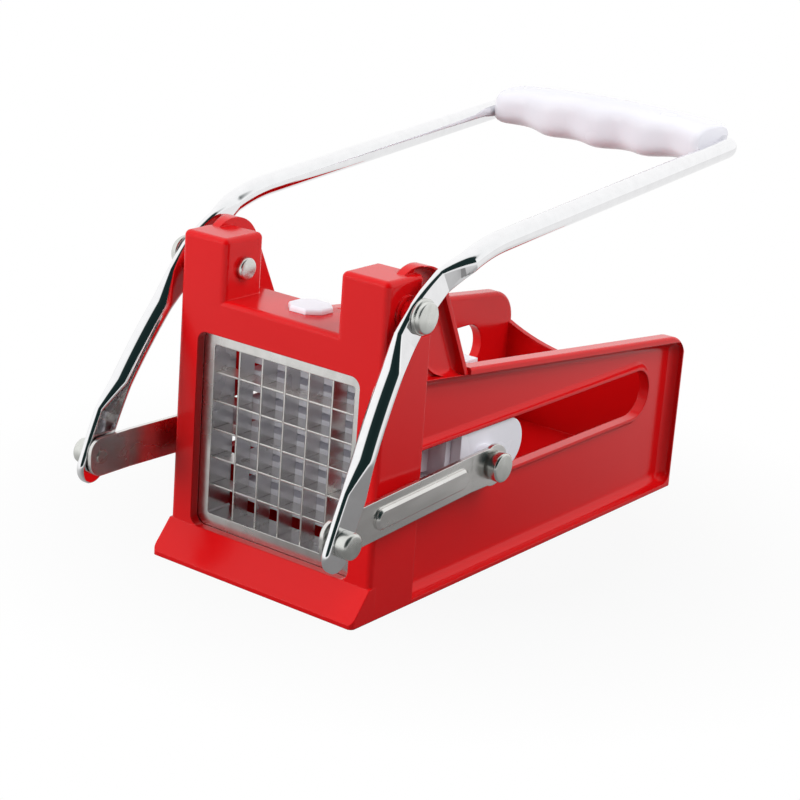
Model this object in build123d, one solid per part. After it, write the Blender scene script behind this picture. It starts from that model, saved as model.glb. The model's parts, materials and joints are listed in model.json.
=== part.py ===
from build123d import *
import math
import os

# Lever potato slicer, in millimetres.
# X runs across the body, Y from the chip outlet (front, -Y) to the hand grip (rear, +Y), Z up.
# The origin is the middle of the base, on the surface that it stands on.

# Working values
OVERCUT = 1.0
TOUCH = 0.001

# Base and side walls
BASE_LENGTH = 219.0
SIDE_WALL = 7.5
FRONT_CORNER_RADIUS = 2.0
REAR_CORNER_RADIUS = 3.0
FLANGE = 3.0
BASE_FLANGE = 1.6
WEB = 2.5
FLOOR = 2.4
FLOOR_RIB = 3.0
LIP = 2.6
LIP_DROP = 14.4
LIP_FALL = 20.1
LIP_CORNER_RADIUS = 14.0
LIP_OUTER_RADIUS = 1.2
LIP_INNER_RADIUS = 2.0
POCKET_RADIUS = 4.5
POCKET_CORNER = 5.0
REAR_DIP_DROP = 22.7
REAR_SIDE_DROP = 12.7

# Front frame, towers and ears
FRAME_SETBACK = 9.1
PILLAR_DEPTH = 25.6
FRONT_WALL = 3.6
OPENING = 75.4
OPENING_CORNER = 4.0
SILL = 12.6
APRON_EDGE = 1.6
BEAM = 13.2
TOWER_WIDTH = 21.1
TOWER_DEPTH = 20.6
TOWER_RISE = 22.6
TOWER_DRAFT = 0.9
FRAME_EDGE_RADIUS = 2.2
EAR_SETBACK = 29.5
EAR_RADIUS = 14.0
EAR_RISE = 2.6
EAR_LEAN = 26.3
EAR_RECESS = 1.0
EAR_CORNER = 16.0
EAR_RIM = 2.2
EAR_HOLLOW = 3.2
EAR_HOLLOW_RADIUS = 2.6

# Slots for the pusher wings
SLOT_START = 26.0
SLOT_END = 195.6
SLOT_WIDTH = 20.5
SLOT_DROP = 3.6
SLOT_RECESS = 3.0
SLOT_RIM = 1.2
SLOT_FLARE = 4.0
SLOT_HOLLOW = 0.27

# Blade cartridge
CARTRIDGE_LAP = 2.8
CARTRIDGE_FIT = 0.25
CARTRIDGE_DEPTH = 12.0
BLADE_BORDER = 5.0
CELLS = 6
BLADE_THICKNESS = 0.7
BLADE_DEPTH = 8.0
BLADE_SETBACK = 1.5
BLADE_SEAT = 2.0
BLADE_FIT = 0.06

# Clip that locks the cartridge
CLIP_LENGTH = 15.6
CLIP_WIDTH = 14.6
CLIP_CORNER = 4.2
CLIP_TAB = 2.0
CLIP_LEG_WIDTH = 11.0
CLIP_LEG = 2.4
CLIP_REACH = 7.0
CLIP_FIT = 0.2

# Lever
PIVOT_SETBACK = 19.5
PIVOT_DROP = 11.8
ARM_GAP = 2.5
CRANK_LENGTH = 81.2
CRANK_LEAN = 30.9
CRANK_SPLAY = 5.2
CRANK_BOW = 3.4
BEND_REAR = 18.66
BEND_RISE = 17.42
ARM_SLOPE = 5.53
HANDLE_REACH = 205.5
HANDLE_RADIUS = 6.0
TUBE = 8.0
FLAT = 3.4
FLAT_WIDTH = 12.6
FLAT_TAPER = 12.0
PIVOT_FLAT = 10.0
BEND_FLAT = 16.0
CRANK_FLAT = 16.0
CRANK_TIP = 4.5
ARM_STATIONS = 6
EDGE_SHARE = 0.49

# Hand grip
GRIP_GAP = 0.3
GRIP_HEIGHT = 22.0
GRIP_DEPTH = 27.0
GRIP_FORWARD = 8.0
GRIP_CROWN = 0.2
GROOVES = 4
GROOVE_PITCH = 24.0
GROOVE_DEPTH = 2.0
GRIP_END_RADIUS = 4.0
GRIP_FIT = 0.1
GRIP_SECTIONS = 36

# Links
LINK_GAP = 0.8
LINK = 1.5
LINK_WIDTH = 14.5
LINK_LENGTH = 99.53
LINK_END_RADIUS = 8.0
LINK_NOSE = 5.6
LINK_FLAT = 14.0
RIB_WIDTH = 8.0
RIB_RISE = 1.6
RIB_BEVEL = 0.9
RIB_FRONT = 23.0
RIB_REAR = 17.5
LAYER_GAP = 0.8

# Rivets
PIN = 6.0
PIN_FIT = 0.05
HEAD_GAP = 0.1
PIVOT_HEAD = 13.0
PIVOT_HEAD_RISE = 3.2
PIVOT_STEP = 1.4
PIVOT_TAIL = 8.4
PIVOT_TAIL_RISE = 2.2
PIVOT_PAD = 12.0
SPACER = 9.0
CRANK_HEAD = 9.6
CRANK_HEAD_RISE = 4.9
CRANK_PIN = 5.0
CRANK_TAIL = 0.4
LINK_HEAD = 11.4
LINK_HEAD_RISE = 5.4
LINK_COLLAR = 8.6
LINK_COLLAR_RISE = 0.8
HEAD_EDGE = 0.5

# Pusher
WING_FIT = 0.3
WING_RECESS = 4.0
WING_FRONT = 13.5
WING_REAR = 26.6
WING_ROOT = 3.5
LINK_PIN_DROP = 3.1
BOSS = 13.0
BOSS_GAP = 0.3
PANEL = 5.0
PANEL_SETBACK = 7.5
PUSHER_FIT = 1.0
PUSHER_DROP = 8.0
PLATE_DEPTH = 10.6
PLATE_FACE = 4.0
PLATE_RIM = 4.0
PEG_FIT = 0.6
PEG_LENGTH = 30.0
PEG_TAPER = 0.8
SCREW = 4.0
SCREW_HEAD = 7.6
SCREW_HEAD_RISE = 2.6
SCREW_LENGTH = 12.0
SCREW_INSET = 12.0
SCREW_BOSS = 8.0
SCREW_FIT = 0.1

# Places that follow from the sizes
FRONT = -BASE_LENGTH / 2
REAR = BASE_LENGTH / 2
FRAME_FRONT = FRONT + FRAME_SETBACK
FRAME_REAR = FRAME_FRONT + PILLAR_DEPTH
SEAT = FRAME_FRONT + FRONT_WALL
CHAMBER_HALF = OPENING / 2 + CARTRIDGE_LAP
HALF = CHAMBER_HALF + SIDE_WALL
WEB_FACE = CHAMBER_HALF + WEB
SLOT_FACE = HALF - SLOT_RECESS
EAR_FACE = HALF - EAR_RECESS
FLOOR_TOP = SILL - CARTRIDGE_LAP
POCKET_TOP = SILL + OPENING + CARTRIDGE_LAP
BEAM_TOP = SILL + OPENING + BEAM
TOWER_TOP = BEAM_TOP + TOWER_RISE
TOWER_INNER = HALF - TOWER_DRAFT - TOWER_WIDTH
EAR_TOP = TOWER_TOP + EAR_RISE
LIP_FRONT_HEIGHT = BEAM_TOP - LIP_DROP
LIP_REAR_HEIGHT = LIP_FRONT_HEIGHT - LIP_FALL
OPENING_CENTRE = SILL + OPENING / 2
SLOT_CENTRE = OPENING_CENTRE - SLOT_DROP
GRID = OPENING - 2 * BLADE_BORDER
PITCH = GRID / CELLS
CARTRIDGE_REAR = SEAT + CARTRIDGE_FIT + CARTRIDGE_DEPTH
CLIP_LEG_FRONT = CARTRIDGE_REAR + CLIP_FIT
ARM_FACE = HALF + ARM_GAP
ARM_OUTER = ARM_FACE + FLAT
ARM_PLANE = ARM_FACE + TUBE / 2
CRANK_FACE = ARM_FACE + CRANK_SPLAY
CRANK_OUTER = CRANK_FACE + FLAT
LINK_FACE = HALF + LINK_GAP
LINK_OUTER = LINK_FACE + LINK
LINK_FRONT_OUTER = CRANK_FACE - LAYER_GAP
LINK_JOG = LINK_FRONT_OUTER - LINK_OUTER
WING_FACE = HALF - WING_RECESS
PIVOT = Vector(FRONT + PIVOT_SETBACK, TOWER_TOP - PIVOT_DROP)
CRANK_TURN = math.radians(CRANK_LEAN)
CRANK = PIVOT - Vector(math.sin(CRANK_TURN), math.cos(CRANK_TURN)) * CRANK_LENGTH
CRANK_ARC = -4 * math.atan(2 * CRANK_BOW / CRANK_LENGTH)
LINK_PIN_HEIGHT = SLOT_CENTRE - LINK_PIN_DROP
LINK_RISE = LINK_PIN_HEIGHT - CRANK.Y
LINK_PIN = Vector(CRANK.X + math.sqrt(LINK_LENGTH**2 - LINK_RISE**2), LINK_PIN_HEIGHT)
LINK_ANGLE = math.degrees(math.asin(LINK_RISE / LINK_LENGTH))
BEND = PIVOT + Vector(BEND_REAR, BEND_RISE)
HANDLE_RISE = (HANDLE_REACH - BEND_REAR) * math.tan(math.radians(ARM_SLOPE))
HANDLE = Vector(PIVOT.X + HANDLE_REACH, BEND.Y + HANDLE_RISE)
GRIP_HALF = ARM_FACE - GRIP_GAP
PUSHER_HALF = CHAMBER_HALF - PUSHER_FIT
PUSHER_LOW = FLOOR_TOP + PUSHER_FIT
PUSHER_TOP = POCKET_TOP - PUSHER_DROP
PEG = PITCH - BLADE_THICKNESS - 2 * PEG_FIT
PANEL_FRONT = LINK_PIN.X - WING_FRONT + PANEL_SETBACK


def across(outline, x_from, x_to):
    """Extrude a side-view outline (Y, Z) from one X to another."""
    return extrude(Plane.YZ.offset(x_from) * outline, x_to - x_from)


def along(outline, y_from, y_to):
    """Extrude a front-view outline (X, Z) from one Y to another."""
    return extrude(Plane.XZ.offset(-y_to) * outline, y_to - y_from)


def upward(outline, z_from, z_to):
    """Extrude a plan outline (X, Y) from one Z to another."""
    return extrude(Plane.XY.offset(z_from) * outline, z_to - z_from)


def polygon(*points):
    return make_face(Polyline(*points, close=True))


def block(x_range, y_range, z_range):
    """A plain block between two values on each axis."""
    low = Vector(x_range[0], y_range[0], z_range[0])
    high = Vector(x_range[1], y_range[1], z_range[1])
    size = high - low
    return Pos(*((low + high) / 2)) * Box(size.X, size.Y, size.Z)


def disc(centre, diameter, x_from, x_to):
    """A cylinder about an X axis through a side-view point."""
    return across(Pos(centre.X, centre.Y) * Circle(diameter / 2), x_from, x_to)


def head(centre, diameter, x_from, rise):
    """A rivet head that stands outward from x_from, with a broken edge."""
    shape = disc(centre, diameter, x_from, x_from + rise)
    return chamfer(shape.edges().sort_by(Axis.X)[-1:], HEAD_EDGE)


def both_sides(shape):
    return shape + mirror(shape, about=Plane.YZ)


def save_pair(shape, name):
    """Save a right-hand piece and its mirror image on the left."""
    export_step(shape, f"parts/{name}_right.step")
    export_step(mirror(shape, about=Plane.YZ), f"parts/{name}_left.step")


def lip_height(y):
    """Height of the side wall's top edge, which falls toward the rear."""
    share = (y - FRAME_REAR) / (REAR - FRAME_REAR)
    return LIP_FRONT_HEIGHT - share * LIP_FALL


def ear_outline(corner_radius):
    """Arched ear with a leaning rear edge; its lower front corner is rounded."""
    lean = math.radians(EAR_LEAN)
    centre = Vector(FRONT + EAR_SETBACK, EAR_TOP - EAR_RADIUS)
    tangent = centre + Vector(math.cos(lean), math.sin(lean)) * EAR_RADIUS
    slope = -LIP_FALL / (REAR - FRAME_REAR)
    drop = (tangent.Y - lip_height(tangent.X) + LIP) / (math.cos(lean) + slope * math.sin(lean))
    foot = tangent + Vector(math.sin(lean), -math.cos(lean)) * drop
    corner = Vector(FRAME_REAR, lip_height(FRAME_REAR) - LIP)
    web = polygon(
        (centre.X, centre.Y), (tangent.X, tangent.Y), (foot.X, foot.Y),
        (corner.X, corner.Y), (FRAME_REAR, centre.Y),
    )
    if corner_radius:
        lowest = web.vertices().sort_by_distance((corner.X, corner.Y, 0))[0]
        web = fillet(lowest, corner_radius)
    return web + Pos(centre.X, centre.Y) * Circle(EAR_RADIUS), foot


def slot_outline(clearance=0.0, start=SLOT_START, end=SLOT_END):
    length = end - start - 2 * clearance
    centre = FRONT + (start + end) / 2
    return Pos(centre, SLOT_CENTRE) * SlotOverall(length, SLOT_WIDTH - 2 * clearance)


def slot_rim():
    """Raised rim round the slot, with a hollow flare down to the web."""
    path = Plane.YZ.offset(WEB_FACE) * slot_outline().face().outer_wire()
    top = Vector(FRONT + (SLOT_START + SLOT_END) / 2, SLOT_CENTRE + SLOT_WIDTH / 2)
    rise = SLOT_FACE - WEB_FACE
    outer = SLOT_RIM + SLOT_FLARE
    hollow = (SLOT_RIM + SLOT_FLARE * SLOT_HOLLOW, rise * SLOT_HOLLOW)
    section = make_face(
        [
            Line((0, -WEB), (0, rise)),
            Line((0, rise), (SLOT_RIM, rise)),
            ThreePointArc((SLOT_RIM, rise), hollow, (outer, 0)),
            Line((outer, 0), (outer, -WEB)),
            Line((outer, -WEB), (0, -WEB)),
        ]
    )
    place = Plane(origin=(WEB_FACE, top.X, top.Y), x_dir=(0, 0, 1), z_dir=(0, 1, 0))
    return sweep(place * section, path=path)


def rim_edges(wall, x):
    """Top and rear edges of a side wall on one of its faces."""
    edges = [e for e in wall.edges() if abs(e.center().X - x) < TOUCH]
    return [e for e in edges if e.center().Z > FLANGE and e.center().Y > FRAME_REAR + FLANGE]


def side_wall():
    """Right side wall: thin web inside a frame of flanges, ear above, slot through it."""
    outline = polygon(
        (FRAME_REAR, 0), (REAR, 0), (REAR, LIP_REAR_HEIGHT), (FRAME_REAR, LIP_FRONT_HEIGHT)
    )
    rear_top = outline.vertices().sort_by_distance((REAR, LIP_REAR_HEIGHT, 0))[0]
    wall = across(fillet(rear_top, LIP_CORNER_RADIUS), CHAMBER_HALF, HALF)
    wall = fillet(rim_edges(wall, HALF), LIP_OUTER_RADIUS)
    wall = fillet(rim_edges(wall, CHAMBER_HALF), LIP_INNER_RADIUS)

    ear, foot = ear_outline(EAR_CORNER)
    ear_web, _ = ear_outline(0)
    front = FRAME_REAR - 2 * POCKET_RADIUS
    back = REAR - FLANGE
    pocket = polygon(
        (front, BASE_FLANGE), (back, BASE_FLANGE),
        (back, lip_height(back) - LIP), (front, lip_height(front) - LIP),
    )
    corners = [v for v in pocket.vertices() if v.X > foot.X]
    pocket = across(fillet(corners, POCKET_CORNER), WEB_FACE, HALF + FLANGE)
    floor_edges = [e for e in pocket.edges() if abs(e.center().X - WEB_FACE) < TOUCH]
    wall -= fillet(floor_edges, POCKET_RADIUS)
    lip_front = polygon(
        (front, lip_height(front) - LIP), (foot.X, foot.Y),
        (foot.X, lip_height(foot.X) + LIP), (front, lip_height(front) + LIP),
    )
    wall -= across(lip_front, WEB_FACE, HALF + FLANGE)
    wall += across(ear_web, CHAMBER_HALF, WEB_FACE)
    wall += across(ear, CHAMBER_HALF, EAR_FACE) - ear_hollow(ear)
    return wall + slot_rim()


def ear_hollow(ear):
    """Hollow in the ear's outer face that leaves a rim along its rear edge."""
    floor = EAR_FACE - EAR_HOLLOW
    hollow = across(Pos(-EAR_RIM, 0) * ear, floor, HALF + FLANGE)
    return fillet([e for e in hollow.edges() if abs(e.center().X - floor) < TOUCH], EAR_HOLLOW_RADIUS)


def front_frame():
    """Front frame with its two towers, rounded on the edges that show."""
    outline = polygon(
        (-HALF, 0), (HALF, 0), (HALF - TOWER_DRAFT, TOWER_TOP), (TOWER_INNER, TOWER_TOP),
        (TOWER_INNER, BEAM_TOP), (-TOWER_INNER, BEAM_TOP), (-TOWER_INNER, TOWER_TOP),
        (TOWER_DRAFT - HALF, TOWER_TOP),
    )
    frame = along(outline, FRAME_FRONT, FRAME_REAR)
    tower_rear = FRAME_FRONT + TOWER_DEPTH
    frame -= block(
        (-HALF, HALF), (tower_rear, FRAME_REAR + OVERCUT), (BEAM_TOP, TOWER_TOP + OVERCUT)
    )
    raised = [e for e in frame.edges() if e.center().Z > TOUCH]
    front = [e for e in raised if e.center().Y < FRAME_FRONT + TOUCH]
    top = [e for e in raised if e.center().Y > FRAME_FRONT + TOUCH and e.center().Z > BEAM_TOP + TOUCH]
    return fillet(front + top, FRAME_EDGE_RADIUS)


def apron():
    """Sloping apron under the outlet, solid down to the base."""
    profile = polygon((FRONT, 0), (FRONT, APRON_EDGE), (FRAME_FRONT, SILL), (SEAT, SILL), (SEAT, 0))
    return across(profile, -HALF, HALF)


def rear_wall():
    """Low rear wall between the side walls; its top edge dips in the middle."""
    left = (-WEB_FACE, LIP_REAR_HEIGHT - REAR_SIDE_DROP)
    right = (WEB_FACE, LIP_REAR_HEIGHT - REAR_SIDE_DROP)
    top = ThreePointArc(left, (0, LIP_REAR_HEIGHT - REAR_DIP_DROP), right)
    sides = Polyline(right, (WEB_FACE, 0), (-WEB_FACE, 0), left)
    return along(make_face([top, sides]), REAR - FLANGE, REAR)


def base_plan():
    plan = Rectangle(2 * HALF, BASE_LENGTH)
    plan = fillet([v for v in plan.vertices() if v.Y < 0], FRONT_CORNER_RADIUS)
    return fillet(plan.vertices().group_by(Axis.Y)[-1], REAR_CORNER_RADIUS)


def clip_slot():
    width = CLIP_LEG_WIDTH + 2 * CLIP_FIT
    rear = CLIP_LEG_FRONT + CLIP_LEG + CLIP_FIT
    heights = (POCKET_TOP - OVERCUT, BEAM_TOP + OVERCUT)
    return block((-width / 2, width / 2), (CLIP_LEG_FRONT - CLIP_FIT, rear), heights)


def body_frame():
    """The moulded shell in one piece."""
    inside = (-CHAMBER_HALF, CHAMBER_HALF)
    back = REAR - FLANGE
    body = front_frame() + apron()
    body -= block(inside, (SEAT, FRAME_REAR + OVERCUT), (FLOOR_TOP, POCKET_TOP))
    body += both_sides(side_wall()) + rear_wall()
    body += block((-WEB_FACE, WEB_FACE), (SEAT, back), (FLOOR_TOP - FLOOR, FLOOR_TOP))
    body -= block(inside, (SEAT, back), (-OVERCUT, FLOOR_TOP - FLOOR))
    body += block(inside, (-FLOOR_RIB / 2, FLOOR_RIB / 2), (0, FLOOR_TOP - FLOOR))
    window = Pos(0, OPENING_CENTRE) * RectangleRounded(OPENING, OPENING, OPENING_CORNER)
    body -= along(window, FRAME_FRONT - OVERCUT, SEAT + OVERCUT)
    body -= both_sides(across(slot_outline(), CHAMBER_HALF - OVERCUT, SLOT_FACE))
    body += both_sides(disc(PIVOT, PIVOT_PAD, TOWER_INNER + TOWER_WIDTH / 2, HALF))
    body -= both_sides(disc(PIVOT, PIN + 2 * PIN_FIT, TOWER_INNER - OVERCUT, HALF + OVERCUT))
    body -= clip_slot()
    return body & upward(base_plan(), 0, EAR_TOP + OVERCUT)


def blade_slots(length, thickness, from_y, to_y):
    """Cross-shaped places of the upright and level blades, as cutters."""
    cutters = []
    for i in range(1, CELLS):
        offset = i * PITCH - GRID / 2
        cutters.append(Pos(offset, OPENING_CENTRE) * Rectangle(thickness, length))
        cutters.append(Pos(0, OPENING_CENTRE + offset) * Rectangle(length, thickness))
    return along(Sketch() + cutters, from_y, to_y)


def blade_frame():
    """Square steel frame with a slot at each blade end."""
    outer = 2 * (CHAMBER_HALF - CARTRIDGE_FIT)
    ring = Rectangle(outer, outer) - RectangleRounded(GRID, GRID, BLADE_SEAT / 2)
    front = CARTRIDGE_REAR - CARTRIDGE_DEPTH
    frame = along(Pos(0, OPENING_CENTRE) * ring, front, CARTRIDGE_REAR)
    slot = BLADE_THICKNESS + 2 * BLADE_FIT
    reach = GRID + 2 * (BLADE_SEAT + BLADE_FIT)
    blade_rear = front + BLADE_SETBACK + BLADE_DEPTH
    return frame - blade_slots(reach, slot, front + BLADE_SETBACK - BLADE_FIT, blade_rear + BLADE_FIT)


def blade(offset, upright):
    """One strip blade, notched halfway where the others cross it."""
    length = GRID + 2 * BLADE_SEAT
    front = CARTRIDGE_REAR - CARTRIDGE_DEPTH + BLADE_SETBACK
    rear = front + BLADE_DEPTH
    middle = (front + rear) / 2
    notch = BLADE_THICKNESS + 2 * BLADE_FIT
    strip = along(Rectangle(length, BLADE_THICKNESS), front, rear)
    for i in range(1, CELLS):
        place = Pos(i * PITCH - GRID / 2, 0) * Rectangle(notch, 2 * BLADE_THICKNESS)
        if upright:
            strip -= along(place, middle - BLADE_FIT, rear + OVERCUT)
        else:
            strip -= along(place, front - OVERCUT, middle + BLADE_FIT)
    if upright:
        return Pos(offset, 0, OPENING_CENTRE) * Rot(0, 90, 0) * strip
    return Pos(0, 0, OPENING_CENTRE + offset) * strip


def blade_lock_clip():
    """Eight-sided tab on the beam with a leg behind the cartridge."""
    tab = chamfer(Rectangle(CLIP_LENGTH, CLIP_WIDTH).vertices(), CLIP_CORNER)
    centre = CLIP_LEG_FRONT + CLIP_LEG / 2
    clip = upward(Pos(0, centre) * tab, BEAM_TOP, BEAM_TOP + CLIP_TAB)
    clip = fillet(clip.faces().sort_by(Axis.Z)[-1].edges(), CLIP_TAB / 2)
    half = CLIP_LEG_WIDTH / 2
    leg_depth = (CLIP_LEG_FRONT, CLIP_LEG_FRONT + CLIP_LEG)
    return clip + block((-half, half), leg_depth, (POCKET_TOP - CLIP_REACH, BEAM_TOP))


def arm_section(centre, direction, width, thickness):
    """Cross-section of the lever arm, square to its direction."""
    outward = direction.cross(Vector(1, 0, 0)).cross(direction)
    place = Plane(origin=centre, x_dir=outward, z_dir=direction)
    return place * RectangleRounded(thickness, width, EDGE_SHARE * min(width, thickness))


def arc_station(start, end, turn, share):
    """Point and direction at a share of the side-view arc between two points that turns by an angle."""
    chord = end - start
    heading = math.atan2(chord.Y, chord.X) - turn / 2
    lean = heading + share * turn / 2
    reach = chord.length * math.sin(share * turn / 2) / math.sin(turn / 2)
    point = start + Vector(math.cos(lean), math.sin(lean)) * reach
    return point, Vector(math.cos(heading + share * turn), math.sin(heading + share * turn))


def pressed_section(point, direction, inner_face, roundness):
    """Section of the tube between pressed flat (0) and round (1), with its inner side at one X."""
    width = FLAT_WIDTH + roundness * (TUBE - FLAT_WIDTH)
    thickness = FLAT + roundness * (TUBE - FLAT)
    centre = Vector(inner_face + thickness / 2, point.X, point.Y)
    return arm_section(centre, Vector(0, direction.X, direction.Y), width, thickness)


def lower_sections():
    """Sections of the bowed lower arm: flat past the crank, round, and flat again below the pivot."""
    low = CRANK_FLAT / CRANK_LENGTH
    high = 1 - PIVOT_FLAT / CRANK_LENGTH
    taper = FLAT_TAPER / CRANK_LENGTH
    step = (high - low - 2 * taper) / ARM_STATIONS
    stations = [(-CRANK_TIP / CRANK_LENGTH, 0), (low, 0), (high, 0)]
    stations[2:2] = [(low + taper + i * step, 1) for i in range(ARM_STATIONS + 1)]
    sections = []
    for share, roundness in stations:
        point, direction = arc_station(CRANK, PIVOT, CRANK_ARC, share)
        splay = CRANK_SPLAY * min(1, (high - share) / (high - low))
        inner_face = ARM_FACE + splay - roundness * (TUBE - FLAT) / 2
        sections.append(pressed_section(point, direction, inner_face, roundness))
    return sections


def bend_sections(end, turn):
    """Sections of the bend above the pivot, flat at first and then round, flush on the inner side."""
    length = (end - PIVOT).length
    low = BEND_FLAT / length
    high = low + FLAT_TAPER / length
    step = (1 - high) / ARM_STATIONS
    stations = [(0, 0), (low / 2, 0), (low, 0)] + [(high + i * step, 1) for i in range(ARM_STATIONS + 1)]
    return [
        pressed_section(*arc_station(PIVOT, end, turn, share), ARM_FACE, roundness)
        for share, roundness in stations
    ]


def lever_arm():
    """Right arm up to the end of its bend, and the point where the straight tube goes on."""
    to_bend = BEND - PIVOT
    to_handle = (HANDLE - BEND).normalized()
    bend_end = BEND + to_handle * to_bend.length
    turn = -math.radians(to_bend.get_angle(to_handle))
    arm = loft(lower_sections() + bend_sections(bend_end, turn), ruled=True)
    end, _ = arc_station(CRANK, PIVOT, CRANK_ARC, -CRANK_TIP / CRANK_LENGTH)
    tip = disc(end, FLAT_WIDTH, CRANK_FACE, CRANK_OUTER)
    return arm + fillet(tip.edges().filter_by(GeomType.CIRCLE), EDGE_SHARE * FLAT), bend_end


def handle_tube(upper, diameter=TUBE):
    """The lever's upper arms and the cross tube between them."""
    path = FilletPolyline(
        (ARM_PLANE, upper.X, upper.Y), (ARM_PLANE, HANDLE.X, HANDLE.Y),
        (-ARM_PLANE, HANDLE.X, HANDLE.Y), (-ARM_PLANE, upper.X, upper.Y),
        radius=HANDLE_RADIUS,
    )
    start = Plane(origin=path @ 0, z_dir=path % 0)
    return sweep(start * Circle(diameter / 2), path=path)


def lever_tube():
    """Bent tube lever in one piece, with holes for the pivot and crank rivets."""
    arm, upper = lever_arm()
    lever = handle_tube(upper) + both_sides(arm)
    lever -= both_sides(disc(PIVOT, PIN + 2 * PIN_FIT, HALF, ARM_OUTER + OVERCUT))
    return lever - both_sides(disc(CRANK, CRANK_PIN + 2 * PIN_FIT, HALF, CRANK_OUTER + OVERCUT))


def groove_depth(x):
    """Depth of the finger grooves under the grip at a place across it."""
    inside = abs(x) < GROOVES * GROOVE_PITCH / 2
    phase = x / GROOVE_PITCH + GROOVES / 2
    return GROOVE_DEPTH * (1 - math.cos(2 * math.pi * phase)) / 2 if inside else 0.0


def hand_grip():
    """Grip in front of and round the cross tube; crowned, with finger grooves on its underside."""
    sections = []
    for i in range(GRIP_SECTIONS + 1):
        share = 2 * i / GRIP_SECTIONS - 1
        groove = groove_depth(share * GRIP_HALF)
        height = GRIP_HEIGHT * (1 - GRIP_CROWN * share**4) - groove
        centre = (share * GRIP_HALF, HANDLE.X - GRIP_FORWARD, HANDLE.Y + groove / 2)
        place = Plane(origin=centre, x_dir=(0, 1, 0), z_dir=(1, 0, 0))
        sections.append(place * Ellipse(GRIP_DEPTH / 2, height / 2))
    grip = loft(sections)
    ends = grip.faces().sort_by(Axis.X)
    grip = fillet(ends[0].edges() + ends[-1].edges(), GRIP_END_RADIUS)
    return grip - handle_tube((BEND + HANDLE) / 2, TUBE + 2 * GRIP_FIT)


def link_rib(slant, middle):
    """Raised rib with bevelled edges on the link's slanting length."""
    outward = Vector(slant.Y, -slant.X, 0)
    fall = (middle - LINK_FLAT) / slant.Y
    face = LINK_FRONT_OUTER - LINK_JOG * fall
    place = Plane(origin=(face, middle, 0), x_dir=slant, z_dir=outward)
    length = LINK_LENGTH - RIB_FRONT - RIB_REAR
    rib = extrude(place * SlotOverall(length, RIB_WIDTH), RIB_RISE, both=True)
    return chamfer(rib.faces().sort_by(Axis((0, 0, 0), outward))[-1].edges(), RIB_BEVEL)


def link():
    """Stamped link with round flat ends, set inward toward the rear, with a raised rib between."""
    outline = Pos((LINK_LENGTH - LINK_NOSE) / 2, 0) * Rectangle(LINK_LENGTH + LINK_NOSE, LINK_WIDTH)
    outline = fillet(outline.vertices().group_by(Axis.X)[0], LINK_NOSE)
    outline += Pos(LINK_LENGTH, 0) * Circle(LINK_END_RADIUS)
    rear_flat = LINK_LENGTH - LINK_FLAT
    reach = 2 * LINK_END_RADIUS
    edge = [
        (LINK_FRONT_OUTER, -reach), (LINK_FRONT_OUTER, LINK_FLAT),
        (LINK_OUTER, rear_flat), (LINK_OUTER, LINK_LENGTH + reach),
    ]
    band = polygon(*edge, *[(x - LINK, y) for x, y in reversed(edge)])
    strip = across(outline, HALF, CRANK_FACE) & upward(band, -reach, reach)
    slant = Vector(-LINK_JOG, rear_flat - LINK_FLAT, 0)
    rib = link_rib(slant, (LINK_LENGTH + RIB_FRONT - RIB_REAR) / 2)
    behind = upward(polygon(*edge, (HALF, LINK_LENGTH + reach), (HALF, -reach)), -reach, reach)
    piece = Pos(0, CRANK.X, CRANK.Y) * Rot(LINK_ANGLE, 0, 0) * (strip + (rib - behind))
    return piece - disc(CRANK, CRANK_PIN + 2 * PIN_FIT, HALF, CRANK_FACE)


def pivot_rivet():
    """Stepped head outside the lever, pin through the tower, upset tail on its inner face."""
    seat = ARM_OUTER + HEAD_GAP
    tail = disc(PIVOT, PIVOT_TAIL, TOWER_INNER - PIVOT_TAIL_RISE, TOWER_INNER)
    tail = chamfer(tail.edges().sort_by(Axis.X)[:1], HEAD_EDGE)
    base = disc(PIVOT, PIVOT_HEAD, seat, seat + PIVOT_STEP)
    cap = head(PIVOT, PIVOT_HEAD - PIVOT_STEP, seat + PIVOT_STEP, PIVOT_HEAD_RISE - PIVOT_STEP)
    return tail + disc(PIVOT, PIN, TOWER_INNER, seat) + base + cap


def pivot_spacer():
    """Sleeve on the pivot pin between tower and lever."""
    sleeve = disc(PIVOT, SPACER, HALF, ARM_FACE - HEAD_GAP)
    return sleeve - disc(PIVOT, PIN + 2 * PIN_FIT, HALF, ARM_FACE)


def crank_rivet():
    """Rivet through the lever's lower end and the front of the link."""
    pin = disc(CRANK, CRANK_PIN, LINK_FRONT_OUTER - LINK - CRANK_TAIL, CRANK_OUTER)
    return pin + head(CRANK, CRANK_HEAD, CRANK_OUTER, CRANK_HEAD_RISE)


def crank_washer():
    washer = disc(CRANK, CRANK_HEAD, LINK_FRONT_OUTER + HEAD_GAP, CRANK_FACE)
    return washer - disc(CRANK, CRANK_PIN + 2 * PIN_FIT, LINK_FRONT_OUTER, CRANK_FACE)


def link_rivet():
    """Rivet that stands on the rear of the link, over the pusher wing's boss."""
    seat = LINK_OUTER + LINK_COLLAR_RISE
    collar = disc(LINK_PIN, LINK_COLLAR, LINK_OUTER, seat)
    return collar + head(LINK_PIN, LINK_HEAD, seat, LINK_HEAD_RISE - LINK_COLLAR_RISE)


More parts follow.
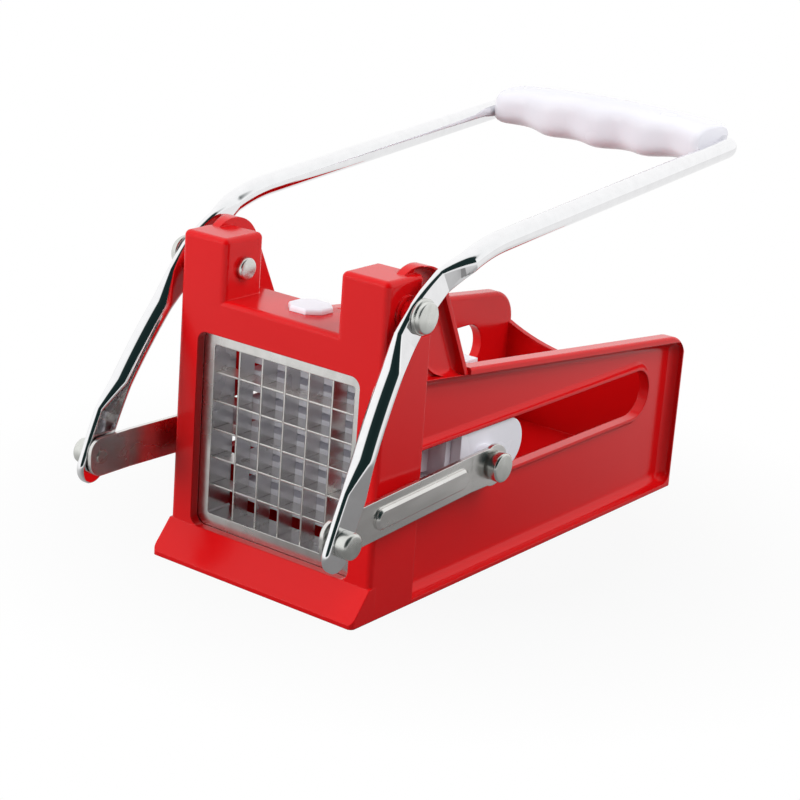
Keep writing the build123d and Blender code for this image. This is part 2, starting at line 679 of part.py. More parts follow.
def pusher_carrier():
    """Cross panel with a wing on each side; each wing runs in its slot."""
    wing_start = LINK_PIN.X - WING_FRONT
    wing_end = LINK_PIN.X + WING_REAR
    panel_rear = PANEL_FRONT + PANEL
    carrier = block((-PUSHER_HALF, PUSHER_HALF), (PANEL_FRONT, panel_rear), (PUSHER_LOW, PUSHER_TOP))
    radius = SLOT_WIDTH / 2 - WING_FIT
    low = SLOT_CENTRE - radius
    high = SLOT_CENTRE + radius
    round_start = wing_end - radius
    outline = polygon((wing_start, low), (round_start, low), (round_start, high), (wing_start, high))
    outline += Pos(round_start, SLOT_CENTRE) * Circle(radius)
    wing = across(outline, PUSHER_HALF - WING_ROOT, WING_FACE)
    wing -= block((0, PUSHER_HALF), (wing_start - OVERCUT, PANEL_FRONT), (low, high))
    wing += disc(LINK_PIN, BOSS, WING_FACE, LINK_FACE - BOSS_GAP)
    carrier += both_sides(wing)
    return carrier - screw_places(SCREW + 2 * SCREW_FIT, PANEL_FRONT, panel_rear)


def screw_places(diameter, from_y, to_y):
    """Cylinders along Y at the four screw places."""
    spacing_x = 2 * (PUSHER_HALF - SCREW_INSET)
    spacing_z = PUSHER_TOP - PUSHER_LOW - 2 * SCREW_INSET
    places = Pos(0, (PUSHER_LOW + PUSHER_TOP) / 2) * GridLocations(spacing_x, spacing_z, 2, 2)
    return along(Sketch() + [place * Circle(diameter / 2) for place in places], from_y, to_y)


def pusher_plate():
    """Hollow-backed plate with one tapered peg for each blade cell."""
    front = PANEL_FRONT - PLATE_DEPTH
    plate = block((-PUSHER_HALF, PUSHER_HALF), (front, PANEL_FRONT), (PUSHER_LOW, PUSHER_TOP))
    inside = PUSHER_HALF - PLATE_RIM
    plate -= block(
        (-inside, inside), (front + PLATE_FACE, PANEL_FRONT + OVERCUT),
        (PUSHER_LOW + PLATE_RIM, PUSHER_TOP - PLATE_RIM),
    )
    plate += screw_places(SCREW_BOSS, front, PANEL_FRONT)
    plate -= screw_places(SCREW, PANEL_FRONT - SCREW_LENGTH + PANEL, PANEL_FRONT)
    places = Pos(0, OPENING_CENTRE) * GridLocations(PITCH, PITCH, CELLS, CELLS)
    pegs = Sketch() + [place * Rectangle(PEG, PEG) for place in places]
    return plate + extrude(Plane.XZ.offset(-front) * pegs, PEG_LENGTH, taper=PEG_TAPER)


def pusher_screws():
    """Four pan-head screws from the carrier into the plate."""
    seat = PANEL_FRONT + PANEL
    shanks = screw_places(SCREW - 2 * SCREW_FIT, seat - SCREW_LENGTH + SCREW_FIT, seat)
    return shanks + screw_places(SCREW_HEAD, seat, seat + SCREW_HEAD_RISE)


os.makedirs("parts", exist_ok=True)
export_step(body_frame(), "parts/body_frame.step")
export_step(blade_frame(), "parts/blade_frame.step")
for number in range(1, CELLS):
    shift = number * PITCH - GRID / 2
    export_step(blade(shift, True), f"parts/vertical_blade_{number}.step")
    export_step(blade(shift, False), f"parts/horizontal_blade_{number}.step")
export_step(blade_lock_clip(), "parts/blade_lock_clip.step")
export_step(lever_tube(), "parts/lever_tube.step")
export_step(hand_grip(), "parts/hand_grip.step")
save_pair(pivot_rivet(), "pivot_rivet")
save_pair(pivot_spacer(), "pivot_spacer")
save_pair(link(), "link")
save_pair(crank_rivet(), "crank_rivet")
save_pair(crank_washer(), "crank_washer")
save_pair(link_rivet(), "link_rivet")
export_step(pusher_carrier(), "parts/pusher_carrier.step")
export_step(pusher_plate(), "parts/pusher_plate.step")
export_step(pusher_screws(), "parts/pusher_screws.step")
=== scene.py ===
import json
import math

import bmesh
import bpy
from mathutils import Matrix, Vector

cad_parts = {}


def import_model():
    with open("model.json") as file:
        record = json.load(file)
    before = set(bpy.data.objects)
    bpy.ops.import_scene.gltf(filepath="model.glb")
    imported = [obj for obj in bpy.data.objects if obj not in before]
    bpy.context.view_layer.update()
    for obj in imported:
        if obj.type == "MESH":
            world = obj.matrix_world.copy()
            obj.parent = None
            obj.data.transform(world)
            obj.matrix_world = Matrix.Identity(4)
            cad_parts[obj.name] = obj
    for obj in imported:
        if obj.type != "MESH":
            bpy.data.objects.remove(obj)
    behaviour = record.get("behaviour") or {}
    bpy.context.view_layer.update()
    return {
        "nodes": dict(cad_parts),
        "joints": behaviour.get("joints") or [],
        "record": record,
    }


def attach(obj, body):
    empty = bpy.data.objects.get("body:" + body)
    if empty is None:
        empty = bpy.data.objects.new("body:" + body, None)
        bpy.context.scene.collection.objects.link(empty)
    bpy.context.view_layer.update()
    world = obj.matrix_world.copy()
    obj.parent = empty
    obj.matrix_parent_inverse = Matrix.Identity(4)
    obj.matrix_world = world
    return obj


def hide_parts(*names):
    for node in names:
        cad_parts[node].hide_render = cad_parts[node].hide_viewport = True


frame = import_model()
nodes = frame["nodes"]
scene = bpy.context.scene
MM = 0.001
SIDES = {"right": 1, "left": -1}

# Camera, from the vanishing lines of the photograph
CAMERA_PLACE = Vector((453.56, -641.97, 302.16)) * MM
CAMERA_AZIMUTH = math.radians(36.3426)
CAMERA_ELEVATION = math.radians(17.9121)
CAMERA_ROLL = math.radians(4.2236)
CAMERA_LENS = 94.16
CAMERA_NEAR = 0.01
SENSOR = 36.0

# White room with one dark side; its brightness by closeness to the middle of that side
DARK_SIDE = Vector((0.82, -0.43, 0.38))
ROOM_STOPS = ((0.0, 1.0), (0.5, 0.95), (0.61, 0.03), (1.0, 0.02))
ROOM_TEAL = 0.2
ROOM_LIGHT = 0.65
ROOM_MIRRORED = 1.1

# Floor, lengths in metres: how white it looks round the object, and the painted shade near the dark side,
# in its colour and in the glow it shows in reflections
FLOOR_SIZE = 8.0
FLOOR_DROP = 0.0002
FLOOR_ROUGHNESS = 0.9
SEEN = (0.93, 1.0)
SEEN_SPAN = (0.08, 0.2)
PAINTED_SHADE_SPOT = Vector((0.12, -0.12, 0))
PAINTED_SHADE_GREYS = (0.1, 0.35)
PAINTED_SHADE_SPAN = (0.1, 0.36)
# Painted glow of the floor in reflections, with painted shade near the spot
PAINTED_REFLECTION_GLOW = (0.15, 0.9)
PAINTED_REFLECTION_GLOW_SPAN = (0.14, 0.36)

# Usual span of a noise's values
NOISE_SPAN = (0.3, 0.7)

# Angles in degrees above which an edge stays sharp
CAD_SHARP = 32
LEVER_SHARP = 10
GRIP_SHARP = 60
RIVET_SHARP = 40

# Lever, lengths in millimetres
ARM_FACE = 50.5
CRANK_SPLAY = 5.2
CRANK_BOW = 3.4
FLAT = 3.4
FLAT_WIDTH = 12.6
NECK_WIDTH = 10.4
TUBE = 8.0
ROUND_SHARE = 0.49
CRANK_FLAT = 16.0
CRANK_TIP = 4.5
TIP_RINGS = 16
TIP_EDGE = 0.6
PIVOT_FLAT = 10.0
BEND_FLAT = 16.0
TAPER = 12.0
BEND_OFFSET = Vector((0, 18.66, 17.42))
ARM_SLOPE = math.radians(5.53)
HANDLE_REACH = 205.5
CORNER_RADIUS = 6.0
CORNER_RINGS = 16
FACET_REACH = 1.1
FACET_DROP = 2.8
FACET_RISE = 2.9
ARC_POINTS = 16
RING_STEP = 1.5

# Hand grip, lengths in millimetres
GRIP_HALF = 50.2
GRIP_DEPTH = 27.0
GRIP_HEIGHT = 22.0
GRIP_FORWARD = 8.0
GRIP_END = 4.0
GRIP_END_SHARE = 0.84
GRIP_INSIDE = 0.999
GRIP_CROWN = 2.2
GRIP_BELLY = 8.8
GRIP_LIFT = 3.0
GRIP_SQUARE = 3.4
GROOVES = 4
GROOVE_PITCH = 24.0
GROOVE_DEPTH = 2.6
GROOVE_AIM = math.radians(195)
GROOVE_FADE = 1.5
GRIP_RINGS = 120
GRIP_POINTS = 64


def joint_place(name):
    """Place of a joint in millimetres."""
    joint = next(j for j in frame["joints"] if j["name"] == name)
    return Vector(joint["pos_m"]) / MM


PIVOT = joint_place("lever_hinge")
CRANK = joint_place("link_hinge_right")
HANDLE_RISE = BEND_OFFSET.z + (HANDLE_REACH - BEND_OFFSET.y) * math.tan(ARM_SLOPE)
HANDLE = PIVOT + Vector((0, HANDLE_REACH, HANDLE_RISE))
LOWER_TURN = -4 * math.atan(2 * CRANK_BOW / (PIVOT - CRANK).length)


def linear(red, green, blue):
    """Linear colour from sRGB values of 0 to 255."""
    def part(value):
        share = value / 255
        return share / 12.92 if share <= 0.04045 else ((share + 0.055) / 1.055) ** 2.4
    return part(red), part(green), part(blue), 1.0


class Nodes:
    """A material's node tree, with short calls for the nodes used here."""

    def __init__(self, name):
        self.material = bpy.data.materials.new(name)
        self.material.use_nodes = True
        self.tree = self.material.node_tree
        self.shader = self.tree.nodes["Principled BSDF"]

    def add(self, kind, **values):
        """New node, with values for its sockets or properties by name."""
        node = self.tree.nodes.new(kind)
        for name, value in values.items():
            if name in node.inputs:
                node.inputs[name].default_value = value
            else:
                setattr(node, name, value)
        return node

    def join(self, source, target):
        """Link an output to an input."""
        self.tree.links.new(source, target)

    def noise(self, scale, detail=2.0, stretch=(1, 1, 1)):
        """Noise in the object's own space, finer along an axis with a larger stretch."""
        place = self.add("ShaderNodeTexCoord")
        mapping = self.add("ShaderNodeMapping")
        mapping.inputs["Scale"].default_value = stretch
        texture = self.add("ShaderNodeTexNoise", Scale=scale, Detail=detail)
        self.join(place.outputs["Object"], mapping.inputs["Vector"])
        self.join(mapping.outputs["Vector"], texture.inputs["Vector"])
        return texture.outputs["Fac"]

    def ramp(self, factor, stops):
        """Colour by a value, from stops of place and colour."""
        ramp = self.add("ShaderNodeValToRGB")
        while len(ramp.color_ramp.elements) < len(stops):
            ramp.color_ramp.elements.new(0.5)
        for element, (place, colour) in zip(ramp.color_ramp.elements, stops):
            element.position = place
            element.color = colour
        self.join(factor, ramp.inputs["Fac"])
        return ramp.outputs["Color"]

    def spread(self, factor, low, high, span=NOISE_SPAN):
        """Map a span of a value, by default the usual one of a noise, to a range from low to high."""
        node = self.add("ShaderNodeMapRange")
        node.inputs["From Min"].default_value = span[0]
        node.inputs["From Max"].default_value = span[1]
        node.inputs["To Min"].default_value = low
        node.inputs["To Max"].default_value = high
        self.join(factor, node.inputs["Value"])
        return node.outputs["Result"]

    def bump(self, height, distance, strength=1.0, edge=0.0):
        """Surface relief; edge is the radius in metres that sharp edges are shaded with."""
        node = self.add("ShaderNodeBump")
        node.inputs["Strength"].default_value = strength
        node.inputs["Distance"].default_value = distance
        self.join(height, node.inputs["Height"])
        if edge:
            rounded = self.add("ShaderNodeBevel", samples=12)
            rounded.inputs["Radius"].default_value = edge
            self.join(rounded.outputs["Normal"], node.inputs["Normal"])
        self.join(node.outputs["Normal"], self.shader.inputs["Normal"])


def plastic(name, colour, deep, roughness, gloss, edge):
    """Moulded plastic: faint flow marks in colour and gloss, fine grain in relief."""
    graph = Nodes(name)
    flow = graph.noise(scale=14.0, detail=3.0, stretch=(1.0, 0.4, 1.0))
    graph.join(graph.ramp(flow, list(zip(NOISE_SPAN, (deep, colour)))), graph.shader.inputs["Base Color"])
    haze = graph.noise(scale=40.0)
    graph.join(graph.spread(haze, roughness - 0.02, roughness + 0.03), graph.shader.inputs["Roughness"])
    graph.shader.inputs["Specular IOR Level"].default_value = gloss
    graph.bump(graph.noise(scale=500.0), distance=0.00001, strength=0.3, edge=edge)
    return graph.material


def metal(name, colour, deep, roughness, stretch, grain, edge):
    """Metal with streaks along one axis and soft smudges in its gloss."""
    graph = Nodes(name)
    streak = graph.noise(scale=260.0, detail=3.0, stretch=stretch)
    graph.join(graph.ramp(streak, list(zip(NOISE_SPAN, (deep, colour)))), graph.shader.inputs["Base Color"])
    graph.shader.inputs["Metallic"].default_value = 1.0
    smudge = graph.noise(scale=45.0, detail=4.0)
    graph.join(graph.spread(smudge, roughness * 0.8, roughness * 1.3), graph.shader.inputs["Roughness"])
    graph.bump(streak, distance=grain, strength=0.6, edge=edge)
    return graph.material


red = plastic(
    "red_moulding", linear(214, 16, 20), linear(209, 13, 17), roughness=0.17, gloss=0.24, edge=0.0006,
)
white = plastic(
    "white_moulding", linear(238, 237, 244), linear(232, 231, 239), roughness=0.25, gloss=0.4, edge=0.0006,
)
chrome = metal(
    "bright_chrome", (0.86, 0.86, 0.87, 1), (0.82, 0.82, 0.83, 1), roughness=0.06,
    stretch=(1, 1, 1), grain=0.000002, edge=0.0003,
)
rivet = metal(
    "rivet_steel", (0.72, 0.73, 0.7, 1), (0.62, 0.63, 0.6, 1), roughness=0.25,
    stretch=(1, 1, 1), grain=0.00002, edge=0.0004,
)
sheet = metal(
    "sheet_steel", (0.78, 0.77, 0.75, 1), (0.68, 0.67, 0.65, 1), roughness=0.24,
    stretch=(1, 0.15, 1), grain=0.00001, edge=0.0004,
)
MATERIALS = {
    "red_plastic": red,
    "white_plastic": white,
    "chrome": chrome,
    "rivet_steel": rivet,
    "sheet_steel": sheet,
}

for part in frame["record"]["subparts"]:
    node = nodes[part["node"]]
    node.data.materials.clear()
    node.data.materials.append(MATERIALS[part["material_slot"]])


def smooth(piece, angle):
    """Smooth shading, with edges kept sharp above an angle in degrees."""
    with bpy.context.temp_override(object=piece, active_object=piece, selected_editable_objects=[piece]):
        bpy.ops.object.shade_smooth_by_angle(angle=math.radians(angle))


for node in nodes.values():
    smooth(node, CAD_SHARP)


def add_piece(name, mesh, body, slot, replaced, angle):
    """Finish a new piece: outward faces, smooth shading, its material, body and replaced nodes."""
    bmesh.ops.recalc_face_normals(mesh, faces=mesh.faces)
    data = bpy.data.meshes.new(name)
    mesh.to_mesh(data)
    mesh.free()
    data.materials.append(MATERIALS[slot])
    piece = bpy.data.objects.new(name, data)
    scene.collection.objects.link(piece)
    smooth(piece, angle)
    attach(piece, body)
    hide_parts(*replaced)
    return piece


def skin(mesh, rings):
    """Closed skin over rings of points in millimetres, with a cap on each end."""
    rows = [[mesh.verts.new(point * MM) for point in ring] for ring in rings]
    for low, high in zip(rows, rows[1:]):
        for i in range(len(low)):
            j = (i + 1) % len(low)
            mesh.faces.new((low[i], low[j], high[j], high[i]))
    mesh.faces.new(rows[0])
    mesh.faces.new(rows[-1])


def arm_ring(centre, direction, width, thickness):
    """Cross-section of the lever: a rectangle with rounded corners, square to its direction."""
    outward = direction.cross(Vector((1, 0, 0))).cross(direction).normalized()
    upward = outward.cross(direction)
    radius = ROUND_SHARE * min(width, thickness)
    points = []
    for quarter in range(4):
        across = thickness / 2 - radius
        along = width / 2 - radius
        corner = (across if quarter in (0, 3) else -across, along if quarter in (0, 1) else -along)
        for i in range(ARC_POINTS):
            angle = math.pi / 2 * (quarter + i / (ARC_POINTS - 1))
            x = corner[0] + radius * math.cos(angle)
            y = corner[1] + radius * math.sin(angle)
            points.append(centre + outward * x + upward * y)
    return points


def arc_station(start, end, turn, share):
    """Point and direction at a share of the arc in side view that turns by an angle between two points."""
    chord = end - start
    heading = math.atan2(chord.z, chord.y) - turn / 2
    lean = heading + share * turn / 2
    reach = chord.length * math.sin(share * turn / 2) / math.sin(turn / 2)
    aim = heading + share * turn
    point = start + Vector((0, math.cos(lean), math.sin(lean))) * reach
    return point, Vector((0, math.cos(aim), math.sin(aim)))


def steps(*marks):
    """Places between marks, close enough together for smooth shading; each mark once."""
    places = [marks[0]]
    for low, high in zip(marks, marks[1:]):
        count = max(1, round((high - low) / RING_STEP))
        places += [low + (high - low) * i / count for i in range(1, count + 1)]
    return places


def pressed_ring(point, direction, inner_face, roundness, width=FLAT_WIDTH):
    """Ring of the tube between pressed flat (0) and round (1), with its inner side at one X."""
    thickness = FLAT + roundness * (TUBE - FLAT)
    centre = point + Vector((inner_face + thickness / 2, 0, 0))
    return arm_ring(centre, direction, width + roundness * (TUBE - width), thickness)


def crank_tip():
    """Rings of the rounded lower end, a little past the crank's rivet."""
    end, direction = arc_station(CRANK, PIVOT, LOWER_TURN, -CRANK_TIP / (PIVOT - CRANK).length)
    centre = end + Vector((ARM_FACE + CRANK_SPLAY + FLAT / 2, 0, 0))
    rings = []
    for i in range(1, TIP_RINGS):
        turn = math.pi / 2 * i / TIP_RINGS
        place = centre - direction * math.cos(turn) * FLAT_WIDTH / 2
        edge = TIP_EDGE + (1 - TIP_EDGE) * math.sin(turn)
        rings.append(arm_ring(place, direction, FLAT_WIDTH * math.sin(turn), FLAT * edge))
    return rings


def lower_arm():
    """Rings of the bowed lower arm: flat at the crank, round, and flat again below the pivot."""
    length = (PIVOT - CRANK).length
    high = length - PIVOT_FLAT
    rings = []
    for place in steps(-CRANK_TIP, CRANK_FLAT, CRANK_FLAT + TAPER, high - TAPER, high, length - RING_STEP):
        roundness = max(0.0, min(1.0, (place - CRANK_FLAT) / TAPER, (high - place) / TAPER))
        splay = CRANK_SPLAY * max(0.0, min(1.0, (high - place) / (high - CRANK_FLAT)))
        inner_face = ARM_FACE + splay - roundness * (TUBE - FLAT) / 2
        point, direction = arc_station(CRANK, PIVOT, LOWER_TURN, place / length)
        rings.append(pressed_ring(point, direction, inner_face, roundness))
    return rings


def upper_bend(end, turn):
    """Rings of the bend above the pivot, from flat to round, flush on the inner side."""
    length = (end - PIVOT).length
    rings = []
    for place in steps(0, BEND_FLAT, BEND_FLAT + TAPER, length):
        roundness = max(0.0, min(1.0, (place - BEND_FLAT) / TAPER))
        point, direction = arc_station(PIVOT, end, turn, place / length)
        width = FLAT_WIDTH + (NECK_WIDTH - FLAT_WIDTH) * min(1.0, place / BEND_FLAT)
        ring = pressed_ring(point, direction, ARM_FACE, roundness, width)
        rings.append(press_facet(ring, end, turn, length))
    return rings


def press_facet(ring, end, turn, length):
    """The flat facet that the press leaves on the lower half of the bend's outer side."""
    start, aim = arc_station(PIVOT, end, turn, BEND_FLAT / length)
    far, far_aim = arc_station(PIVOT, end, turn, (BEND_FLAT + FACET_REACH * TAPER) / length)
    down, far_down = Vector((0, aim.z, -aim.y)), Vector((0, far_aim.z, -far_aim.y))
    crease = start + Vector((ARM_FACE + FLAT, 0, 0))
    apex = far + far_down * FACET_DROP + Vector((ARM_FACE + TUBE / 2 + FACET_RISE, 0, 0))
    normal = down.cross(apex - crease)
    ridge = (apex - crease).dot(down) / (apex - crease).dot(aim)
    points = []
    for p in ring:
        offset = p - crease
        face = crease.x - (normal.y * offset.y + normal.z * offset.z) / normal.x
        lower = offset.dot(aim) > 0 and offset.dot(down) > ridge * offset.dot(aim)
        points.append(Vector((min(p.x, face) if lower else p.x, p.y, p.z)))
    return points


def turn_points(before, corner, after, radius, count):
    """Points and directions along a bend of a radius at a corner."""
    inward = (corner - before).normalized()
    outward = (after - corner).normalized()
    turn = inward.angle(outward)
    middle = corner + (outward - inward).normalized() * radius / math.cos(turn / 2)
    start = corner - inward * radius * math.tan(turn / 2) - middle
    axis = inward.cross(outward).normalized()
    stations = []
    for i in range(count + 1):
        spin = Matrix.Rotation(turn * i / count, 3, axis)
        stations.append((middle + spin @ start, spin @ inward))
    return stations


def handle_ring(centre, direction, straight):
    """Round section of the tube in the handle's corner, in step with the arm's sections."""
    upward = Vector((1, 0, 0)).cross(straight).normalized()
    outward = direction.cross(upward).normalized()
    points = []
    for quarter in range(4):
        for i in range(ARC_POINTS):
            angle = math.pi / 2 * (quarter + i / (ARC_POINTS - 1))
            points.append(centre + (outward * math.cos(angle) + upward * math.sin(angle)) * TUBE / 2)
    return points


def right_arm():
    """Rings of the right half of the lever, from the crank end to the middle of the handle."""
    corner = PIVOT + BEND_OFFSET
    straight = (HANDLE - corner).normalized()
    bend_end = corner + straight * BEND_OFFSET.length
    rings = crank_tip() + lower_arm() + upper_bend(bend_end, -BEND_OFFSET.angle(straight))
    handle = HANDLE + Vector((ARM_FACE + TUBE / 2, 0, 0))
    for place, direction in turn_points(handle - straight, handle, HANDLE, CORNER_RADIUS, CORNER_RINGS):
        rings.append(handle_ring(place, direction, straight))
    rings.append(handle_ring(HANDLE, Vector((-1, 0, 0)), straight))
    return rings


def lever():
    """Bent lever tube as one skin: pressed flat at the crank ends and pivots, round between."""
    right = right_arm()
    left = [[Vector((-p.x, p.y, p.z)) for p in ring] for ring in right[-2::-1]]
    mesh = bmesh.new()
    skin(mesh, right + left)
    add_piece("lever_bent_tube", mesh, "lever", "chrome", ["lever_tube"], LEVER_SHARP)


def groove(x):
    """Depth of the finger grooves at a place across the grip, 0 to 1."""
    if abs(x) > GROOVES * GROOVE_PITCH / 2:
        return 0.0
    return (1 - math.cos(2 * math.pi * (x / GROOVE_PITCH + GROOVES / 2))) / 2


def grip_ring(x):
    """Ring of the grip at a place across it: squarish, crowned above, grooved in front and below."""
    middle = HANDLE + Vector((x, -GRIP_FORWARD, 0))
    share = (x / GRIP_HALF) ** 2
    top = GRIP_HEIGHT / 2 - GRIP_CROWN * share
    bottom = GRIP_BELLY - GRIP_LIFT * share
    inset = max(0.0, abs(x) - (GRIP_HALF - GRIP_END)) / GRIP_END
    shrink = GRIP_END_SHARE + (1 - GRIP_END_SHARE) * math.sqrt(1 - inset**2)
    ring = []
    for k in range(GRIP_POINTS):
        angle = 2 * math.pi * k / GRIP_POINTS
        depth = GROOVE_DEPTH * groove(x) * max(0.0, math.cos(angle - GROOVE_AIM)) ** GROOVE_FADE
        across, along = math.cos(angle), math.sin(angle)
        y = math.copysign(abs(across) ** (2 / GRIP_SQUARE), across) * (GRIP_DEPTH / 2 - depth)
        z = math.copysign(abs(along) ** (2 / GRIP_SQUARE), along) * ((top if along > 0 else bottom) - depth)
        ring.append(middle + Vector((0, y, z)) * shrink)
    return ring


def grip():
    """Moulded grip with finger grooves and rounded ends."""
    turns = [math.pi * (i / GRIP_RINGS - 0.5) for i in range(GRIP_RINGS + 1)]
    mesh = bmesh.new()
    skin(mesh, [grip_ring(GRIP_HALF * GRIP_INSIDE * math.sin(turn)) for turn in turns])
    add_piece("grip_moulding", mesh, "lever", "white_plastic", ["hand_grip"], GRIP_SHARP)


# Rivets turned about X: distance from the middle plane and radius, from the inner end outward
NEAR_AXIS = 0.01
PIVOT_RIVET = (
    (23.8, NEAR_AXIS), (23.8, 3.3), (24.0, 3.9), (24.5, 4.2), (26.0, 4.2),
    (26.0, 3.0), (54.0, 3.0),
    (54.0, 6.1), (54.3, 6.45), (55.1, 6.5), (55.4, 6.3),
    (55.45, 5.8), (56.5, 5.75), (57.0, 5.5), (57.2, 5.0), (57.2, NEAR_AXIS),
)
CRANK_RIVET = (
    (53.0, NEAR_AXIS), (53.0, 2.5), (59.1, 2.5),
    (59.1, 4.5), (59.3, 4.75), (62.6, 4.8), (63.4, 4.6), (63.85, 4.15), (64.0, 3.6), (64.0, NEAR_AXIS),
)
LINK_RIVET = (
    (50.3, NEAR_AXIS), (50.3, 4.3), (51.1, 4.3),
    (51.1, 5.4), (51.3, 5.65), (54.1, 5.7), (54.6, 5.55), (54.85, 5.2), (54.9, 4.8), (54.9, NEAR_AXIS),
)
LATHE_POINTS = 48


def middle_of(node):
    """Middle of a CAD node's box, in millimetres."""
    corners = [node.matrix_world @ Vector(corner) for corner in node.bound_box]
    return sum(corners, Vector()) / len(corners) / MM


def turned(name, body, profile):
    """A rivet as a turned piece on each side, in place of the plain one."""
    for side, sign in SIDES.items():
        node = f"{name}_{side}"
        centre = middle_of(nodes[node])
        rings = []
        for x, radius in profile:
            ring = []
            for k in range(LATHE_POINTS):
                angle = 2 * math.pi * k / LATHE_POINTS
                y = centre.y + radius * math.cos(angle)
                z = centre.z + radius * math.sin(angle)
                ring.append(Vector((sign * x, y, z)))
            rings.append(ring)
        mesh = bmesh.new()
        skin(mesh, rings)
        add_piece(f"{node}_turned", mesh, body.format(side), "rivet_steel", [node], RIVET_SHARP)


lever()
grip()
turned("pivot_rivet", "frame", PIVOT_RIVET)
turned("crank_rivet", "lever", CRANK_RIVET)
turned("link_rivet", "link_{}", LINK_RIVET)


def look_at(place, target):
    """Matrix of a lamp at a place, turned to a target."""
    turn = (Vector(target) - Vector(place)).to_track_quat("-Z", "Y")
    return Matrix.LocRotScale(Vector(place), turn, None)


def softbox(name, place, target, size, power):
    """Square soft lamp that lights the object but isn't mirrored in its metal."""
    light = bpy.data.lights.new(name, "AREA")
    light.shape = "SQUARE"
    light.size = size
    light.energy = power
    lamp = bpy.data.objects.new(name, light)
    lamp.visible_glossy = False
    lamp.matrix_world = look_at(place, target)
    scene.collection.objects.link(lamp)


def camera():
    """Camera at the photograph's viewing angle."""
    turn, rise, roll = CAMERA_AZIMUTH, CAMERA_ELEVATION, CAMERA_ROLL
    back = Vector((math.sin(turn) * math.cos(rise), -math.cos(turn) * math.cos(rise), math.sin(rise)))
    right = Vector((math.cos(turn), math.sin(turn), 0))
    up = back.cross(right)
    x_axis = math.cos(roll) * right + math.sin(roll) * up
    y_axis = -math.sin(roll) * right + math.cos(roll) * up
    data = bpy.data.cameras.new("camera")
    data.sensor_width = SENSOR
    data.lens = CAMERA_LENS
    data.clip_start = CAMERA_NEAR
    eye = bpy.data.objects.new("camera", data)
    matrix = Matrix((x_axis, y_axis, back)).transposed().to_4x4()
    matrix.translation = CAMERA_PLACE
    eye.matrix_world = matrix
    scene.collection.objects.link(eye)
    scene.camera = eye


def floor():
    """White floor that keeps a faint shadow near the object and fades to pure white round it; its colour
    and its glow in reflections hold painted shade near a spot in front and to the right.
    """
    bpy.ops.mesh.primitive_plane_add(size=FLOOR_SIZE, location=(0, 0, -FLOOR_DROP))
    plane = bpy.context.object
    plane.name = "floor"
    graph = Nodes("floor")
    graph.shader.inputs["Roughness"].default_value = FLOOR_ROUGHNESS
    place = graph.add("ShaderNodeTexCoord")
    from_middle = graph.add("ShaderNodeVectorMath", operation="LENGTH")
    from_painted_shade_spot = graph.add("ShaderNodeVectorMath", operation="DISTANCE")
    from_painted_shade_spot.inputs[1].default_value = PAINTED_SHADE_SPOT
    graph.join(place.outputs["Object"], from_middle.inputs[0])
    graph.join(place.outputs["Object"], from_painted_shade_spot.inputs[0])
    # Painted shade: the floor's colour is darker near the spot in front and to the right of the object
    painted_shade_greys = [(at, (grey, grey, grey, 1)) for at, grey in zip(PAINTED_SHADE_SPAN, PAINTED_SHADE_GREYS)]
    graph.join(graph.ramp(from_painted_shade_spot.outputs["Value"], painted_shade_greys), graph.shader.inputs["Base Color"])
    seen = graph.spread(from_middle.outputs["Value"], *SEEN, SEEN_SPAN)
    # Painted light and shade: in reflections the floor glows, dimmer near that spot
    painted_reflection_glow = graph.spread(from_painted_shade_spot.outputs["Value"], *PAINTED_REFLECTION_GLOW, PAINTED_REFLECTION_GLOW_SPAN)
    glow = graph.add("ShaderNodeEmission")
    path = graph.add("ShaderNodeLightPath")
    share = graph.add("ShaderNodeMath", operation="MAXIMUM")
    mix = graph.add("ShaderNodeMixShader")
    for ray, brightness, socket in (("Is Camera Ray", seen, 0), ("Is Glossy Ray", painted_reflection_glow, 1)):
        part = graph.add("ShaderNodeMath", operation="MULTIPLY")
        graph.join(path.outputs[ray], part.inputs[0])
        graph.join(brightness, part.inputs[1])
        graph.join(part.outputs[0], share.inputs[socket])
    graph.join(share.outputs[0], mix.inputs["Fac"])
    graph.join(graph.shader.outputs[0], mix.inputs[1])
    graph.join(glow.outputs[0], mix.inputs[2])
    graph.join(mix.outputs[0], graph.tree.nodes["Material Output"].inputs["Surface"])
    plane.data.materials.append(graph.material)


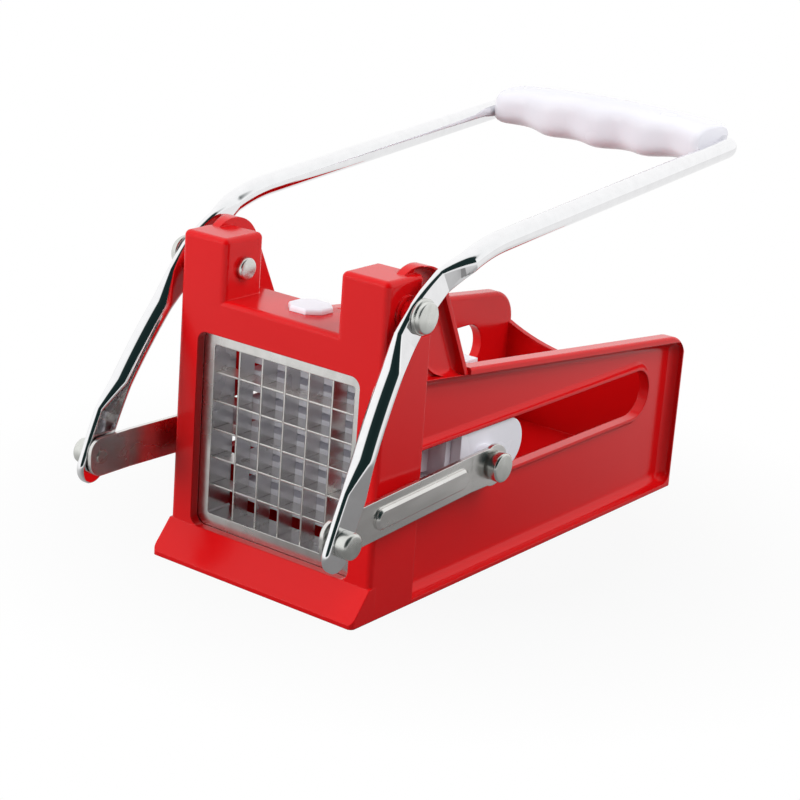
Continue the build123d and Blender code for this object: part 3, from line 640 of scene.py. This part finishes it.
def world():
    """A white room with one dark side, and plain white behind the floor's edge."""
    data = bpy.data.worlds.new("studio")
    scene.world = data
    data.use_nodes = True
    tree = data.node_tree
    room = tree.nodes["Background"]
    path = tree.nodes.new("ShaderNodeLightPath")
    strength = tree.nodes.new("ShaderNodeMapRange")
    strength.inputs["To Min"].default_value = ROOM_LIGHT
    strength.inputs["To Max"].default_value = ROOM_MIRRORED
    tree.links.new(path.outputs["Is Glossy Ray"], strength.inputs["Value"])
    tree.links.new(strength.outputs["Result"], room.inputs["Strength"])
    place = tree.nodes.new("ShaderNodeTexCoord")
    toward = tree.nodes.new("ShaderNodeVectorMath")
    toward.operation = "DOT_PRODUCT"
    toward.inputs[1].default_value = DARK_SIDE.normalized()
    ramp = tree.nodes.new("ShaderNodeValToRGB")
    while len(ramp.color_ramp.elements) < len(ROOM_STOPS):
        ramp.color_ramp.elements.new(0.5)
    for element, (closeness, grey) in zip(ramp.color_ramp.elements, ROOM_STOPS):
        element.position = closeness
        element.color = (grey * grey**ROOM_TEAL, grey, grey, 1)
    tree.links.new(place.outputs["Generated"], toward.inputs[0])
    tree.links.new(toward.outputs["Value"], ramp.inputs["Fac"])
    tree.links.new(ramp.outputs["Color"], room.inputs["Color"])
    white_out = tree.nodes.new("ShaderNodeBackground")
    white_out.inputs["Color"].default_value = (1, 1, 1, 1)
    mix = tree.nodes.new("ShaderNodeMixShader")
    tree.links.new(path.outputs["Is Camera Ray"], mix.inputs["Fac"])
    tree.links.new(room.outputs[0], mix.inputs[1])
    tree.links.new(white_out.outputs[0], mix.inputs[2])
    tree.links.new(mix.outputs[0], tree.nodes["World Output"].inputs["Surface"])


camera()
floor()
world()
softbox("overhead", (0.75, 0.1, 0.85), (0, 0, 0.03), size=0.8, power=9.0)
softbox("right_side", (0.95, 0.6, 0.45), (0, 0, 0.05), size=0.6, power=1.5)
softbox("front_left", (-0.5, -1.05, 0.42), (0, 0, 0.05), size=0.7, power=11.0)
scene.view_settings.view_transform = "Standard"
